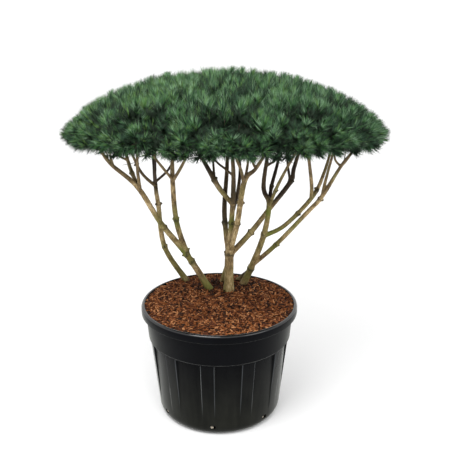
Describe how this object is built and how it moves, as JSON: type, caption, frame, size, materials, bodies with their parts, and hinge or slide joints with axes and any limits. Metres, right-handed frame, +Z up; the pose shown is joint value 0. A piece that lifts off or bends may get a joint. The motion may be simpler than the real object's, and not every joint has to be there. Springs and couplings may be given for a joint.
{
  "type": "potted scots pine",
  "caption": "Scots pine grown on several bare stems with a crown clipped to a wide low dome, in a round ribbed nursery pot.",
  "frame": {"origin": "centre of the flat underside of the pot, which stands on the ground", "axes": "+Z up, -Y towards the front from which the plant is seen, +X to the viewer's right"},
  "size_m": [1.6285, 1.3889, 1.775],
  "materials": {
    "pot_plastic": "charcoal black, satin",
    "root_ball_soil": "dark soil and roots, matt",
    "mulch_bark": "red-brown bark chips, matt",
    "stem_bark": "olive-tan bark, matt",
    "needles": "blue-green needles, matt"
  },
  "bodies": {
    "root": {"pot": "pot_plastic", "root_ball": "root_ball_soil", "bark_mulch": "mulch_bark", "stem_left_back": "stem_bark", "bough_left_rear": "stem_bark", "bough_left_upright": "stem_bark", "stem_left_front": "stem_bark", "bough_left_second": "stem_bark", "bough_left_riser": "stem_bark", "stem_left_middle": "stem_bark", "bough_middle_left": "stem_bark", "bough_middle_right": "stem_bark", "trunk_centre": "stem_bark", "stem_centre_back": "stem_bark", "bough_centre_left": "stem_bark", "bough_centre_back": "stem_bark", "stem_centre_right": "stem_bark", "bough_centre_front": "stem_bark", "bough_centre_riser": "stem_bark", "stem_right_rear": "stem_bark", "bough_rear_riser": "stem_bark", "stem_right": "stem_bark", "bough_right_back": "stem_bark", "bough_right_front": "stem_bark", "stem_right_low": "stem_bark", "bough_low_riser": "stem_bark", "stem_right_high": "stem_bark", "bough_high_riser": "stem_bark", "leg_centre": "stem_bark", "leg_right": "stem_bark", "foliage_front": "needles", "foliage_front_right": "needles", "foliage_right_front": "needles", "foliage_right_back": "needles", "foliage_back_right": "needles", "foliage_back": "needles", "foliage_back_left": "needles", "foliage_left_back": "needles", "foliage_left_front": "needles", "foliage_front_left": "needles", "foliage_inner_front_right": "needles", "foliage_inner_right": "needles", "foliage_inner_back": "needles", "foliage_inner_left": "needles", "foliage_inner_front_left": "needles", "foliage_top": "needles"}
  },
  "joints": []
}
